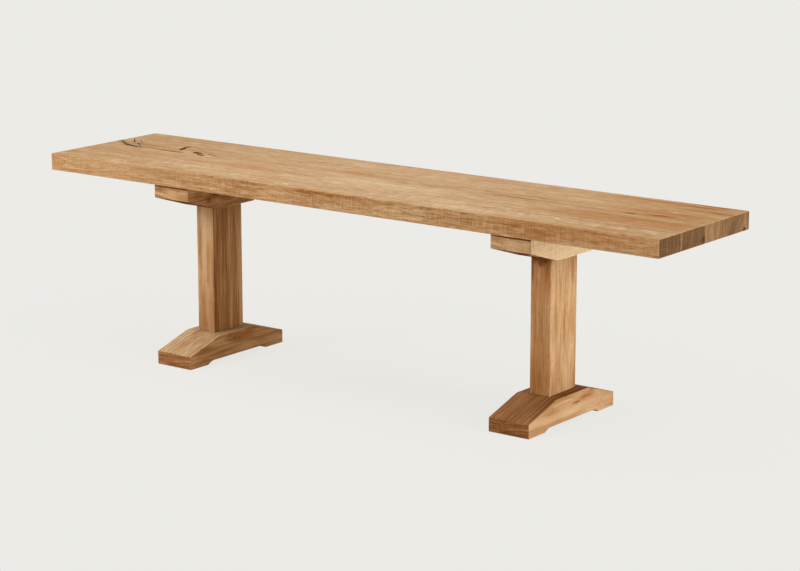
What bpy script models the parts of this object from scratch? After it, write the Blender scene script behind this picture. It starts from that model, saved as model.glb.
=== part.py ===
"""Dining bench in solid oak: a top of glued boards, bolted to two leg frames shaped like a tall I.

The bench runs along X, its front faces -Y and the floor is z = 0. All sizes are in metres.
Each leg frame is a foot and a cleat with a post tenoned between them. Four bolts rise through
each cleat's thin ends into threaded inserts in the top, so that the frames come off for moving.
"""

import math

import bmesh
import bpy

for leftover in list(bpy.data.objects):
    bpy.data.objects.remove(leftover, do_unlink=True)

# Top
bench_length = 1.600
top_width = 0.350
top_thickness = 0.038
seat_height = 0.450
board_count = 4
top_arris_radius = 0.0015

# Leg frames, all from one width of stock
end_overhang = 0.300
leg_stock_width = 0.098
leg_arris_radius = 0.001
post_thickness = 0.048

# Foot, seen from the bench's end: thin ends, two pads and a shallow relief between them
foot_length = 0.320
foot_height = 0.060
foot_end_height = 0.030
foot_flat_length = 0.120
pad_length = 0.060
relief_height = 0.007
relief_cove_radius = 0.032
cove_steps = 6

# Cleat: a foot turned over, flat against the top
cleat_length = 0.318
cleat_height = 0.062
cleat_end_height = 0.032
cleat_flat_length = 0.124

# Mortise and tenon joints at both ends of a post
tenon_thickness = 0.020
tenon_width = 0.070
foot_tenon_length = 0.040
cleat_tenon_length = 0.042
tenon_root = 0.010
mortise_end_room = 0.001

# Bolts, their washers and the inserts that they screw into
bolt_row_spacing = 0.230
bolt_pair_spacing = 0.050
bolt_grip = 0.024
bolt_diameter = 0.008
bolt_length = 0.045
bolt_tip_chamfer = 0.001
bolt_head_diameter = 0.013
bolt_head_height = 0.008
socket_flats = 0.006
socket_depth = 0.004
washer_diameter = 0.024
washer_thickness = 0.002
counterbore_diameter = 0.026
slot_width = 0.0095
slot_length = 0.0145
insert_diameter = 0.012
insert_length = 0.016
insert_inset = 0.0005
insert_thread_depth = 0.001
insert_thread_count = 4
insert_hole_end_room = 0.002

# Clearances and cuts
glue_gap = 0.0003
metal_gap = 0.0003
cut_overrun = 0.005
weld_distance = 0.00001

# Counts of straight sides on round work
hardware_sides = 20
socket_sides = 6
slot_end_steps = 8
arris_segments = 2
smallest_arris_angle = math.radians(50)
smooth_angle = math.radians(35)
flat_angle = math.radians(1)

# Places that the sizes above settle
leg_x = bench_length / 2 - end_overhang - leg_stock_width / 2
underside_z = seat_height - top_thickness
cleat_top_z = underside_z - glue_gap
cleat_bottom_z = cleat_top_z - cleat_height
post_bottom_z = foot_height + glue_gap
post_top_z = cleat_bottom_z - glue_gap
washer_seat_z = cleat_top_z - bolt_grip
washer_top_z = washer_seat_z - metal_gap
washer_bottom_z = washer_top_z - washer_thickness
bolt_seat_z = washer_bottom_z - metal_gap
bolt_tip_z = bolt_seat_z + bolt_length
insert_bottom_z = underside_z + insert_inset

# Finishes: an sRGB colour, a roughness and a metallic value
oak_finishes = {
    "seat_board_1": ((198, 157, 114), 0.55),
    "seat_board_2": ((193, 147, 102), 0.55),
    "seat_board_3": ((196, 154, 111), 0.55),
    "seat_board_4": ((199, 158, 116), 0.55),
    "foot": ((180, 137, 93), 0.58),
    "post": ((186, 142, 98), 0.58),
    "cleat": ((182, 138, 95), 0.58),
}
steel_finish = ((168, 170, 172), 0.35)
insert_finish = ((178, 168, 140), 0.42)

parts = bpy.data.collections.new("dining_bench")
cutters = bpy.data.collections.new("dining_bench_cutters")
for collection in (parts, cutters):
    bpy.context.scene.collection.children.link(collection)


def linear(channel):
    """One sRGB channel, 0 to 255, as the linear value that a shader takes."""
    value = channel / 255
    return value / 12.92 if value <= 0.04045 else ((value + 0.055) / 1.055) ** 2.4


def finish(piece, colour, roughness, metallic=0.0):
    """Gives the piece a material of its own."""
    material = bpy.data.materials.new(piece.name + "_finish")
    material.use_nodes = True
    shader = material.node_tree.nodes["Principled BSDF"]
    shader.inputs["Base Color"].default_value = [linear(c) for c in colour] + [1.0]
    shader.inputs["Roughness"].default_value = roughness
    shader.inputs["Metallic"].default_value = metallic
    material.diffuse_color = shader.inputs["Base Color"].default_value
    piece.data.materials.clear()
    piece.data.materials.append(material)


def place(piece, collection, frame):
    """Links the object where it belongs, and hangs it on its leg frame's empty where it has one."""
    collection.objects.link(piece)
    piece.parent = frame
    if collection is cutters:
        piece.hide_render = True
        piece.display_type = "WIRE"
    return piece


def box(name, size, centre, collection=parts, frame=None):
    """A plain block of the given size along X, Y and Z."""
    mesh = bmesh.new()
    bmesh.ops.create_cube(mesh, size=1.0)
    bmesh.ops.scale(mesh, vec=size, verts=mesh.verts)
    data = bpy.data.meshes.new(name)
    mesh.to_mesh(data)
    mesh.free()
    piece = bpy.data.objects.new(name, data)
    piece.location = centre
    return place(piece, collection, frame)


def cylinder(name, sides, radius, bottom, top, at, collection=cutters, frame=None):
    """An upright round or many-sided bar between two heights."""
    mesh = bmesh.new()
    bmesh.ops.create_cone(
        mesh, cap_ends=True, segments=sides, radius1=radius, radius2=radius, depth=top - bottom
    )
    data = bpy.data.meshes.new(name)
    mesh.to_mesh(data)
    mesh.free()
    piece = bpy.data.objects.new(name, data)
    piece.location = (at[0], at[1], (bottom + top) / 2)
    return place(piece, collection, frame)


def extruded(name, outline, thickness, collection=parts, frame=None):
    """A flat outline, drawn in the object's own X and Y, made as thick as asked along its own Z."""
    curve = bpy.data.curves.new(name, "CURVE")
    curve.dimensions = "2D"
    curve.fill_mode = "BOTH"
    curve.extrude = thickness / 2
    spline = curve.splines.new("POLY")
    spline.points.add(len(outline) - 1)
    for point, (x, y) in zip(spline.points, outline):
        point.co = (x, y, 0.0, 1.0)
    spline.use_cyclic_u = True
    drawn = bpy.data.objects.new(name + "_outline", curve)
    bpy.context.scene.collection.objects.link(drawn)
    bpy.context.view_layer.update()
    data = bpy.data.meshes.new_from_object(drawn.evaluated_get(bpy.context.evaluated_depsgraph_get()))
    data.name = name
    mesh = bmesh.new()
    mesh.from_mesh(data)
    bmesh.ops.remove_doubles(mesh, verts=mesh.verts, dist=weld_distance)
    bmesh.ops.dissolve_limit(mesh, angle_limit=flat_angle, verts=mesh.verts, edges=mesh.edges)
    bmesh.ops.recalc_face_normals(mesh, faces=mesh.faces)
    mesh.to_mesh(data)
    mesh.free()
    piece = bpy.data.objects.new(name, data)
    piece.matrix_world = drawn.matrix_world
    bpy.data.objects.remove(drawn, do_unlink=True)
    return place(piece, collection, frame)


def turned_mesh(name, profile, closed):
    """A profile of (radius, height) turned about Z: a ring where it is closed, else a solid of revolution."""
    data = bpy.data.meshes.new(name)
    edges = [(i, i + 1) for i in range(len(profile) - 1)]
    if closed:
        edges.append((len(profile) - 1, 0))
    data.from_pydata([(radius, 0.0, height) for radius, height in profile], edges, [])
    piece = bpy.data.objects.new(name, data)
    bpy.context.scene.collection.objects.link(piece)
    screw = piece.modifiers.new("turn", "SCREW")
    screw.axis = "Z"
    screw.steps = hardware_sides
    screw.render_steps = hardware_sides
    screw.use_merge_vertices = True
    screw.merge_threshold = weld_distance
    screw.use_smooth_shade = True
    return piece


def settled_mesh(piece):
    """The object's mesh with its modifiers made real, and the object removed."""
    bpy.context.view_layer.update()
    graph = bpy.context.evaluated_depsgraph_get()
    data = bpy.data.meshes.new_from_object(piece.evaluated_get(graph))
    data.name = piece.name
    data.shade_smooth()
    data.set_sharp_from_angle(angle=smooth_angle)
    bpy.data.objects.remove(piece, do_unlink=True)
    return data


def combine(piece, other, operation):
    """Joins or cuts the piece by another mesh."""
    modifier = piece.modifiers.new(other.name, "BOOLEAN")
    modifier.operation = operation
    modifier.object = other
    modifier.solver = "EXACT"


def ease_arrises(piece, radius, joint_faces=()):
    """Rounds the square edges, but not those in a joint face, which is given as (axis, place)."""
    mesh = bmesh.new()
    mesh.from_mesh(piece.data)
    weights = mesh.edges.layers.float.new("bevel_weight_edge")
    for edge in mesh.edges:
        in_joint = any(
            all(abs(corner.co[axis] - place_on_axis) < weld_distance for corner in edge.verts)
            for axis, place_on_axis in joint_faces
        )
        is_square = edge.calc_face_angle(0.0) > smallest_arris_angle
        edge[weights] = float(is_square and not in_joint)
    mesh.to_mesh(piece.data)
    mesh.free()
    bevel = piece.modifiers.new("eased arris", "BEVEL")
    bevel.limit_method = "WEIGHT"
    bevel.width = radius
    bevel.segments = arris_segments


def mirrored(half):
    """A closed outline from its half at +X, listed from the top to the bottom."""
    return half + [(-x, y) for x, y in reversed(half)]


def foot_outline():
    """The foot in (y, z): the cove at each pad is an arc that meets the relief's flat ceiling smoothly."""
    pad_inner = foot_length / 2 - pad_length
    cove_angle = math.acos((relief_cove_radius - relief_height) / relief_cove_radius)
    ceiling_end = pad_inner - relief_cove_radius * math.sin(cove_angle)
    centre_z = relief_height - relief_cove_radius
    cove = []
    for step in range(cove_steps + 1):
        angle = cove_angle * (1 - step / cove_steps)
        out = ceiling_end + relief_cove_radius * math.sin(angle)
        cove.append((out, centre_z + relief_cove_radius * math.cos(angle)))
    corners = [
        (foot_flat_length / 2, foot_height),
        (foot_length / 2, foot_end_height),
        (foot_length / 2, 0.0),
    ]
    return mirrored(corners + cove)


def cleat_outline():
    """The cleat in (y, z), flat on top and tapering to its ends."""
    return mirrored([
        (cleat_length / 2, cleat_top_z),
        (cleat_length / 2, cleat_top_z - cleat_end_height),
        (cleat_flat_length / 2, cleat_bottom_z),
    ])


def slot_outline():
    """The slot for a bolt, longer along Y so that the top can swell and shrink across its boards."""
    straight = (slot_length - slot_width) / 2
    points = []
    for sign in (1, -1):
        for step in range(slot_end_steps + 1):
            angle = math.pi * step / slot_end_steps
            across = sign * math.cos(angle) * slot_width / 2
            points.append((across, sign * (straight + math.sin(angle) * slot_width / 2)))
    return points


def bolt_mesh():
    """A socket cap bolt, head down, with its bearing face at z = 0."""
    shank = bolt_diameter / 2
    head = bolt_head_diameter / 2
    bolt = turned_mesh("bolt", [
        (0.0, bolt_length),
        (shank - bolt_tip_chamfer, bolt_length),
        (shank, bolt_length - bolt_tip_chamfer),
        (shank, 0.0),
        (head, 0.0),
        (head, -bolt_head_height),
        (0.0, -bolt_head_height),
    ], closed=False)
    socket = cylinder(
        "bolt_socket_cutter", socket_sides, socket_flats / 2 / math.cos(math.pi / socket_sides),
        -bolt_head_height - cut_overrun, socket_depth - bolt_head_height, (0.0, 0.0),
    )
    combine(bolt, socket, "DIFFERENCE")
    data = settled_mesh(bolt)
    bpy.data.objects.remove(socket, do_unlink=True)
    return data


def washer_mesh():
    """A flat washer with its lower face at z = 0."""
    outer = washer_diameter / 2
    inner = bolt_diameter / 2 + metal_gap
    return settled_mesh(turned_mesh("washer", [
        (outer, washer_thickness),
        (outer, 0.0),
        (inner, 0.0),
        (inner, washer_thickness),
    ], closed=True))


def insert_mesh():
    """A threaded insert with its lower face at z = 0, its outer thread drawn as rings."""
    crest = insert_diameter / 2
    root = crest - insert_thread_depth
    inner = bolt_diameter / 2 + metal_gap
    pitch = insert_length / insert_thread_count
    outside = []
    for turn in range(insert_thread_count):
        top = insert_length - turn * pitch
        outside += [(root, top), (crest, top - pitch / 2)]
    return settled_mesh(turned_mesh("insert", outside + [
        (root, 0.0),
        (inner, 0.0),
        (inner, insert_length),
    ], closed=True))


def build_top():
    """The boards, front to back, each with its outer arrises eased and its glued edges left square."""
    board_width = (top_width - (board_count - 1) * glue_gap) / board_count
    boards = []
    for number in range(board_count):
        name = f"seat_board_{number + 1}"
        y = -top_width / 2 + board_width / 2 + number * (board_width + glue_gap)
        size = (bench_length, board_width, top_thickness)
        board = box(name, size, (0.0, y, seat_height - top_thickness / 2))
        joints = []
        if number > 0:
            joints.append((1, -board_width / 2))
        if number < board_count - 1:
            joints.append((1, board_width / 2))
        ease_arrises(board, top_arris_radius, joints)
        finish(board, *oak_finishes[name])
        boards.append(board)
    return boards


def lie_across(piece):
    """Turns a flat outline of (y, z) points so that its thickness lies along X."""
    piece.rotation_euler = (math.pi / 2, 0.0, math.pi / 2)


def mortise(name, bottom, top, frame):
    """The cutter for one mortise, a glue line larger than its tenon."""
    size = (tenon_thickness + 2 * glue_gap, tenon_width + 2 * glue_gap, top - bottom)
    return box(name, size, (0.0, 0.0, (bottom + top) / 2), cutters, frame)


def build_foot(side, frame):
    foot = extruded(f"{side}_foot", foot_outline(), leg_stock_width, parts, frame)
    lie_across(foot)
    ease_arrises(foot, leg_arris_radius)
    bottom = post_bottom_z - foot_tenon_length - mortise_end_room
    combine(foot, mortise(f"{side}_foot_mortise", bottom, foot_height + cut_overrun, frame), "DIFFERENCE")
    finish(foot, *oak_finishes["foot"])


def build_post(side, frame):
    """The post with a tenon at each end, which a root inside the post joins on."""
    size = (post_thickness, leg_stock_width, post_top_z - post_bottom_z)
    post = box(f"{side}_post", size, (0.0, 0.0, (post_bottom_z + post_top_z) / 2), parts, frame)
    ease_arrises(post, leg_arris_radius, [(2, -size[2] / 2), (2, size[2] / 2)])
    ends = {
        "foot": (post_bottom_z - foot_tenon_length, post_bottom_z + tenon_root),
        "cleat": (post_top_z - tenon_root, post_top_z + cleat_tenon_length),
    }
    for end, (bottom, top) in ends.items():
        tenon_size = (tenon_thickness, tenon_width, top - bottom)
        tenon_at = (0.0, 0.0, (bottom + top) / 2)
        tenon = box(f"{side}_{end}_tenon", tenon_size, tenon_at, cutters, frame)
        combine(post, tenon, "UNION")
    finish(post, *oak_finishes["post"])


def build_cleat(side, frame, bolt_places):
    """The cleat with its mortise, and a counterbore and a slot at each bolt."""
    cleat = extruded(f"{side}_cleat", cleat_outline(), leg_stock_width, parts, frame)
    lie_across(cleat)
    ease_arrises(cleat, leg_arris_radius, [(1, cleat_top_z)])
    top = post_top_z + cleat_tenon_length + mortise_end_room
    combine(cleat, mortise(f"{side}_cleat_mortise", cleat_bottom_z - cut_overrun, top, frame), "DIFFERENCE")
    for number, at in enumerate(bolt_places, start=1):
        bore = cylinder(
            f"{side}_counterbore_{number}", hardware_sides, counterbore_diameter / 2,
            cleat_bottom_z - cut_overrun, washer_seat_z, at, frame=frame,
        )
        combine(cleat, bore, "DIFFERENCE")
        slot_height = bolt_grip + 2 * cut_overrun
        slot = extruded(f"{side}_slot_{number}", slot_outline(), slot_height, cutters, frame)
        slot.location = (at[0], at[1], (washer_seat_z + cleat_top_z) / 2)
        combine(cleat, slot, "DIFFERENCE")
    finish(cleat, *oak_finishes["cleat"])


def build_hardware(side, frame, bolt_places, meshes):
    """A bolt, a washer and an insert at each place, as copies that share their meshes."""
    heights = {"bolt": bolt_seat_z, "washer": washer_bottom_z, "insert": insert_bottom_z}
    for kind, z in heights.items():
        for number, at in enumerate(bolt_places, start=1):
            piece = bpy.data.objects.new(f"{side}_{kind}_{number}", meshes[kind])
            piece.location = (at[0], at[1], z)
            place(piece, parts, frame)


def build_leg_frame(side, x, boards, meshes):
    """One leg frame at x, hung on an empty, with the holes that its inserts need in the boards."""
    frame = bpy.data.objects.new(f"{side}_leg_frame", None)
    frame.location = (x, 0.0, 0.0)
    parts.objects.link(frame)
    bolt_places = [
        (bolt_pair_spacing / 2 * across, bolt_row_spacing / 2 * along)
        for along in (-1, 1)
        for across in (-1, 1)
    ]
    build_foot(side, frame)
    build_post(side, frame)
    build_cleat(side, frame, bolt_places)
    build_hardware(side, frame, bolt_places, meshes)
    hole_radius = insert_diameter / 2 + metal_gap
    for number, at in enumerate(bolt_places, start=1):
        hole = cylinder(
            f"{side}_insert_hole_{number}", hardware_sides, hole_radius,
            underside_z - cut_overrun, bolt_tip_z + insert_hole_end_room, at, frame=frame,
        )
        for board in boards:
            combine(board, hole, "DIFFERENCE")


hardware = {"bolt": bolt_mesh(), "washer": washer_mesh(), "insert": insert_mesh()}
seat_boards = build_top()
for side_name, frame_x in (("left", -leg_x), ("right", leg_x)):
    build_leg_frame(side_name, frame_x, seat_boards, hardware)
for kind_name, (colour, roughness) in {
    "bolt": steel_finish, "washer": steel_finish, "insert": insert_finish,
}.items():
    finish(bpy.data.objects[f"left_{kind_name}_1"], colour, roughness, 1.0)
bpy.context.view_layer.update()
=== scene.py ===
# %% [markdown]
# # A solid oak dining bench
#
# A plank seat stands on two leg frames. Each frame is a foot on the floor, an upright post and a cleat
# under the seat. The sizes come from a frame that is loaded first, so this lesson is about what makes the
# bench look like oak: the way boards are cut from a log, knots and splits, saw marks, eased edges, and a
# soft light.

import math

import bmesh
import bpy
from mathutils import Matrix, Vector


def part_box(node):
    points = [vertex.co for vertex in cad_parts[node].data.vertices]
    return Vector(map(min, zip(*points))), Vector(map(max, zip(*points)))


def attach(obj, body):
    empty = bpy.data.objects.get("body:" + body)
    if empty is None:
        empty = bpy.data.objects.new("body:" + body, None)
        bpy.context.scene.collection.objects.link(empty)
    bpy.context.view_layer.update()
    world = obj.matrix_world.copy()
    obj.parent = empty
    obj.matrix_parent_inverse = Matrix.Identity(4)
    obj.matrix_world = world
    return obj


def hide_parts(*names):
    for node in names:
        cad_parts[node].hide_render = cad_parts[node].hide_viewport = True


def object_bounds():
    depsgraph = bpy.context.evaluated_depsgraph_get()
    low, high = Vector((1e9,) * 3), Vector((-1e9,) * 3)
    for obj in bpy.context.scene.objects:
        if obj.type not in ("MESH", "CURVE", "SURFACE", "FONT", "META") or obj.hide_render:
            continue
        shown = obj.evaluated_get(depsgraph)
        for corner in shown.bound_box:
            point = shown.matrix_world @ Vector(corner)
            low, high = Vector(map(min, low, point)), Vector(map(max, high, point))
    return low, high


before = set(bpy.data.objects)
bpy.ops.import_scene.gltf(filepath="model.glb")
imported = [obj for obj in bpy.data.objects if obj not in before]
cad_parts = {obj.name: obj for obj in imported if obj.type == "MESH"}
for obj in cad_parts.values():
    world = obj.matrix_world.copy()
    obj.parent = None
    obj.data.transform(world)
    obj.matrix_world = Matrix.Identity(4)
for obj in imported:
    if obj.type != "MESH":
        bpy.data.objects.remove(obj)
cad_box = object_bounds()
bench_low, bench_high = (Vector(corner) for corner in cad_box)
print("bench:", [round(size * 1000) for size in bench_high - bench_low], "mm")

# %% [markdown]
# ## Two helpers for colours and nodes
#
# Colours are written as the hex values that a picture shows. A shader wants linear light, so one function
# turns them. A material is a small network, and one function adds each node: its settings are keywords, and
# its sockets take plain values or the outputs of other nodes. Patterns are written in millimetres, because
# timber is measured that way.

# %% Colour and node helpers
MM = 0.001


def linear(hex_colour):
    """An sRGB colour such as "B98A57" as linear red, green and blue, fully opaque."""
    channels = [int(hex_colour[start:start + 2], 16) / 255 for start in (0, 2, 4)]
    light = [c / 12.92 if c <= 0.04045 else ((c + 0.055) / 1.055) ** 2.4 for c in channels]
    return (*light, 1.0)


def node(tree, kind, sockets=None, **settings):
    """Adds a node, sets its properties, and fills its sockets with values or links."""
    added = tree.nodes.new(kind)
    for name, value in settings.items():
        setattr(added, name, value)
    for socket, value in (sockets or {}).items():
        if isinstance(value, bpy.types.NodeSocket):
            tree.links.new(value, added.inputs[socket])
        else:
            added.inputs[socket].default_value = value
    return added


def new_material(name):
    """An empty material and its network, ready for nodes."""
    material = bpy.data.materials.new(name)
    material.use_nodes = True
    material.node_tree.nodes.clear()
    return material, material.node_tree


def finished(material, surface):
    """The material with its surface in place, once all its other nodes are there."""
    node(material.node_tree, "ShaderNodeOutputMaterial", {"Surface": surface})
    print(material.name + ":", len(material.node_tree.nodes), "nodes")
    return material


print("mid grey, 808080, is", round(linear("808080")[0], 3), "in linear light")

# %% [markdown]
# ## Camera
#
# A long lens from the right-hand front, a little above the seat, keeps the edges nearly parallel. The
# numbers are those of a camera that was fitted to the bench's own corners.

# %% Camera
camera_data = bpy.data.cameras.new("camera")
camera_data.lens = 109.35
camera_data.sensor_width = 36.0
camera = bpy.data.objects.new("camera", camera_data)
camera.location = (3.0966, -4.0621, 1.3895)
camera.rotation_euler = (math.radians(77.0947), 0.0, math.radians(36.7956))
bpy.context.scene.collection.objects.link(camera)
bpy.context.scene.camera = camera
bpy.context.scene.view_settings.view_transform = "Standard"
print("camera lens:", camera_data.lens, "mm")

# %% [markdown]
# ## Floor and surroundings
#
# The bench stands on seamless paper. The camera sees mostly the paper's own pale colour. Around the bench
# it also sees about an eighth of its real shading, so that the contact shadows stay but stay faint, and
# further away none, so that the paper is even. The surroundings are the same pale colour, and gloss sees
# it too.

# %% Floor and world
PAPER = "ECEBE7"
floor_size = 60.0
floor_drop = 0.0002
near_share = 0.12
near_reach = (1.5, 0.9, 1.0)


def seen_directly(tree):
    """1 for what the camera sees, also in a gloss or through a glass, and 0 for light that bounces on."""
    rays = node(tree, "ShaderNodeLightPath").outputs
    seen = rays["Is Camera Ray"]
    for kind in ("Is Glossy Ray", "Is Transmission Ray"):
        seen = node(tree, "ShaderNodeMath", {0: seen, 1: rays[kind]}, operation="MAXIMUM").outputs[0]
    return seen


bpy.ops.object.select_all(action="DESELECT")
bpy.ops.mesh.primitive_plane_add(size=floor_size, location=(0.0, 0.0, -floor_drop))
floor = bpy.context.object
floor.name = "floor"

paper, tree = new_material("seamless_paper")
coordinates = node(tree, "ShaderNodeTexCoord")
sockets = {"Vector": coordinates.outputs["Object"], "Scale": near_reach}
local = node(tree, "ShaderNodeMapping", sockets, vector_type="TEXTURE")
away = node(tree, "ShaderNodeVectorMath", {0: local.outputs[0]}, operation="LENGTH")
sockets = {"Value": away.outputs["Value"], "To Min": 1.0 - near_share, "To Max": 1.0}
share = node(tree, "ShaderNodeMapRange", sockets, interpolation_type="SMOOTHSTEP")
sockets = {0: seen_directly(tree), 1: share.outputs["Result"]}
seen = node(tree, "ShaderNodeMath", sockets, operation="MULTIPLY")
shaded = node(tree, "ShaderNodeBsdfDiffuse", {"Color": linear(PAPER)})
even = node(tree, "ShaderNodeEmission", {"Color": linear(PAPER), "Strength": 1.0})
mixed = node(tree, "ShaderNodeMixShader", {0: seen.outputs[0], 1: shaded.outputs[0], 2: even.outputs[0]})
floor.data.materials.append(finished(paper, mixed.outputs[0]))

world = bpy.data.worlds.new("studio")
world.use_nodes = True
tree = world.node_tree
tree.nodes.clear()
room_light = 0.35
fill = node(tree, "ShaderNodeBackground", {"Color": linear("FFFFFF"), "Strength": room_light})
pale = node(tree, "ShaderNodeBackground", {"Color": linear(PAPER), "Strength": 1.0})
mixed = node(tree, "ShaderNodeMixShader", {0: seen_directly(tree), 1: fill.outputs[0], 2: pale.outputs[0]})
node(tree, "ShaderNodeOutputWorld", {"Surface": mixed.outputs[0]})
bpy.context.scene.world = world
print("floor:", floor_size, "m of paper")

# %% [markdown]
# ## Lamps
#
# Four softboxes. The main one stands to the left of the camera, and a small one closer in front of the left
# leg, whose fronts are the brightest. A large one looks in from the right-hand end, where it lights the
# sides of the nearer leg and dies away before the far leg. One hangs over the seat, which shades everything
# below it.

# %% Softboxes
def softbox(name, place, target, size, watts):
    """A square soft lamp that looks at a point."""
    lamp_data = bpy.data.lights.new(name, "AREA")
    lamp_data.shape = "SQUARE"
    lamp_data.size = size
    lamp_data.energy = watts
    lamp = bpy.data.objects.new(name, lamp_data)
    lamp.location = place
    lamp.rotation_euler = (Vector(target) - Vector(place)).to_track_quat("-Z", "Y").to_euler()
    bpy.context.scene.collection.objects.link(lamp)
    print(name + ":", watts, "W")


softbox("main_softbox", (-1.5, -2.6, 2.2), (-0.2, 0.0, 0.3), 1.6, 44.0)
softbox("near_softbox", (-1.1, -1.5, 0.9), (-0.45, 0.0, 0.25), 0.8, 8.0)
softbox("end_softbox", (3.5, 0.0, 0.8), (0.45, 0.0, 0.25), 1.5, 76.0)
softbox("overhead_softbox", (0.0, 0.0, 2.3), (0.0, 0.0, 0.4), 2.0, 20.0)

# %% [markdown]
# ## How oak is patterned
#
# A tree grows one ring a year around its pith, so every pattern in a board is part of one solid: lines on a
# face, arches where a ring is cut flat, and bands on the ends. The pattern is therefore made once, in the
# log's own measure: along the trunk, outwards from the pith, and around it. A board takes its figure from
# where its pith lay.

# %% Patterns that every piece shares
def place_and_normal(tree):
    """Where a point lies on its piece, in millimetres, and the way that its face looks."""
    coordinates = node(tree, "ShaderNodeTexCoord")
    sockets = {0: coordinates.outputs["Object"], "Scale": 1 / MM}
    place = node(tree, "ShaderNodeVectorMath", sockets, operation="SCALE").outputs[0]
    return place, coordinates.outputs["Normal"]


def patches(tree, place, size, detail=2.0, crispness=0.5):
    """Soft random patches of a size in millimetres along X, Y and Z, from 0 to 1 and mostly near 0.5."""
    stretched = node(tree, "ShaderNodeMapping", {"Vector": place, "Scale": [1.0 / step for step in size]})
    sockets = {"Vector": stretched.outputs[0], "Scale": 1.0, "Detail": detail, "Roughness": crispness}
    return node(tree, "ShaderNodeTexNoise", sockets).outputs["Fac"]


def between(tree, value, start, stop, low=0.0, high=1.0):
    """Low below start and high above stop, with a soft step between."""
    sockets = {"Value": value, "From Min": start, "From Max": stop, "To Min": low, "To Max": high}
    return node(tree, "ShaderNodeMapRange", sockets, interpolation_type="SMOOTHSTEP").outputs["Result"]


def crisp_patches(tree, place, size, detail, start, stop):
    """Random patches that are 0 where the noise is below one level and 1 where it is above another."""
    return between(tree, patches(tree, place, size, detail), start, stop)


def weighed(tree, start, parts):
    """The start value plus each part times its weight."""
    total = start
    for value, weight in parts:
        sockets = {0: value, 1: weight, 2: total}
        total = node(tree, "ShaderNodeMath", sockets, operation="MULTIPLY_ADD").outputs[0]
    return total


def times(tree, first, second):
    """The product of two values."""
    return node(tree, "ShaderNodeMath", {0: first, 1: second}, operation="MULTIPLY").outputs[0]


def spot(tree, place, centre, reach, core=0.0):
    """1 in the middle of an ellipsoid in millimetres, falling softly to 0 at its reach."""
    sockets = {"Vector": place, "Location": centre, "Scale": reach}
    local = node(tree, "ShaderNodeMapping", sockets, vector_type="TEXTURE")
    away = node(tree, "ShaderNodeVectorMath", {0: local.outputs[0]}, operation="LENGTH")
    return between(tree, away.outputs["Value"], 1.0, core)


def moved_by(tree, place, noise, reach):
    """The place moved at random, along each axis by up to half of its reach either way."""
    centred = node(tree, "ShaderNodeVectorMath", {0: noise, 1: (0.5, 0.5, 0.5)}, operation="SUBTRACT")
    sockets = {0: centred.outputs[0], 1: reach, 2: place}
    return node(tree, "ShaderNodeVectorMath", sockets, operation="MULTIPLY_ADD").outputs[0]


def faces_along(tree, normal, axis):
    """1 where a face looks straight along an axis, 0 where it looks sideways and -1 where it looks back."""
    return node(tree, "ShaderNodeVectorMath", {0: normal, 1: axis}, operation="DOT_PRODUCT").outputs["Value"]


def tinted(tree, base, colour, share):
    """The base colour moved towards another by a share."""
    return node(tree, "ShaderNodeMix", {0: share, 6: base, 7: colour}, data_type="RGBA").outputs[2]


def stained(tree, tone, tones):
    """Tones of wood from dark to pale, spread evenly over a value from 0 to 1."""
    ramp = node(tree, "ShaderNodeValToRGB", {"Fac": tone})
    stops = ramp.color_ramp.elements
    for _ in tones[2:]:
        stops.new(0.5)
    for step, (stop, colour) in enumerate(zip(stops, tones)):
        stop.position = step / (len(tones) - 1)
        stop.color = linear(colour)
    return ramp.outputs["Color"]


# %% [markdown]
# ## The oak itself
#
# European oak is ring-porous: each spring it grows a band of wide pores that oil fills and darkens, and
# then denser, paler summer wood. Rays run outwards through it and show as pale flecks where a face is cut
# along them. Ends drink more oil than faces, so they are darker. A hard-wax oil leaves the wood matt, so
# roughness is three quarters, and the index of refraction is that of an oil film, 1.47. The open pores
# swallow most of the gloss, which takes its level from the usual 0.5 to 0.08. Undersides are left from the
# saw, so there the roughness rises to 1.

# %% Tones of oiled oak, from heart stripes to sapwood
OAK_FACE = ("5A3217", "905E33", "B2875B", "C9A67D", "DFC39E")
OAK_END = ("4A321D", "6B4D31", "8B6A49", "AB8863", "CAA881")
OAK_PORE = "74481F"
OAK_KNOT = "3A2110"
OIL_INDEX = 1.47
OAK_ROUGHNESS = 0.75
OPEN_GRAIN_GLOSS = 0.08
QUARTER_TURN = math.radians(90)
GRAIN_TURN = {"X": (0.0, 0.0, 0.0), "Y": (0.0, 0.0, QUARTER_TURN), "Z": (0.0, -QUARTER_TURN, 0.0)}
GRAIN_AXIS = {"X": (1.0, 0.0, 0.0), "Y": (0.0, 1.0, 0.0), "Z": (0.0, 0.0, 1.0)}
FRONT = (0.0, -1.0, 0.0)
RIGHT = (1.0, 0.0, 0.0)
DOWN = (0.0, 0.0, -1.0)
print("oak:", len(OAK_FACE), "tones for faces and", len(OAK_END), "for ends")


# %% The place of each point in its log
def drawn_to_knots(tree, place, knots):
    """Draws the grain towards each knot, so that its lines bunch up and bend around it."""
    bends_within = 4
    drawn = place
    for centre, size in knots:
        near = spot(tree, place, centre, [bends_within * step for step in size])
        offset = node(tree, "ShaderNodeVectorMath", {0: centre, 1: place}, operation="SUBTRACT")
        pull = node(tree, "ShaderNodeVectorMath", {0: offset.outputs[0], "Scale": near}, operation="SCALE")
        sockets = {0: drawn, 1: pull.outputs[0]}
        drawn = node(tree, "ShaderNodeVectorMath", sockets, operation="ADD").outputs[0]
    return drawn


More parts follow.
